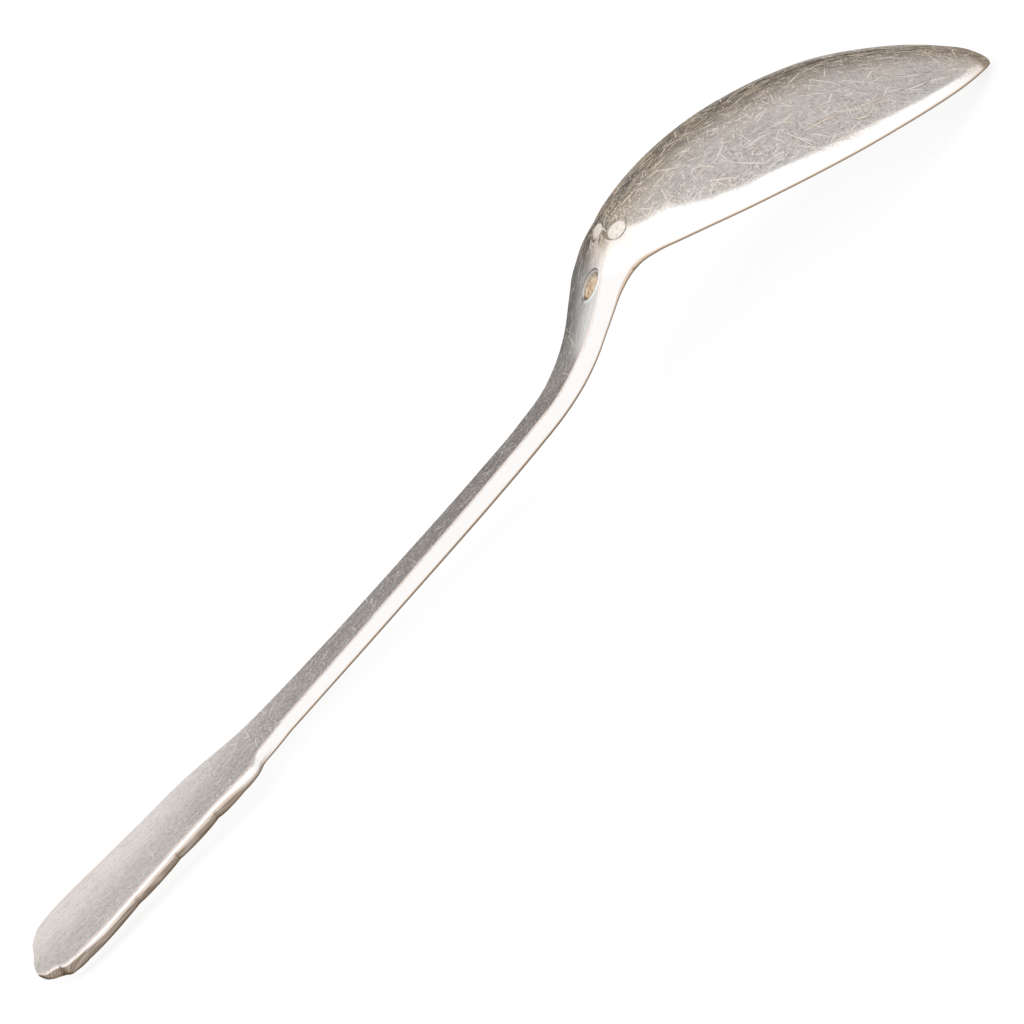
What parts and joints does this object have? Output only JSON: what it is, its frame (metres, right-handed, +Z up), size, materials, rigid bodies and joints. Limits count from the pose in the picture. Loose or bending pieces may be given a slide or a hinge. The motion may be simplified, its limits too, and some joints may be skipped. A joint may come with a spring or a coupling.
{
  "type": "grapefruit spoon",
  "caption": "Silver grapefruit spoon lying face down: pointed leaf-shaped bowl, cranked neck, slim stem and a flat handle end with a lobed margin",
  "frame": {"origin": "on the table under the middle of the spoon's length, with the spoon lying face down", "axes": "X from the handle's end to the bowl's tip, Y across the spoon, Z up out of the back"},
  "size_m": [0.15, 0.0262, 0.0201],
  "materials": {
    "silver_bowl": "worn silver, finely scratched",
    "silver_handle": "worn satin silver"
  },
  "bodies": {
    "root": {"bowl": "silver_bowl", "neck": "silver_handle", "stem": "silver_handle", "terminal": "silver_handle"}
  },
  "joints": []
}
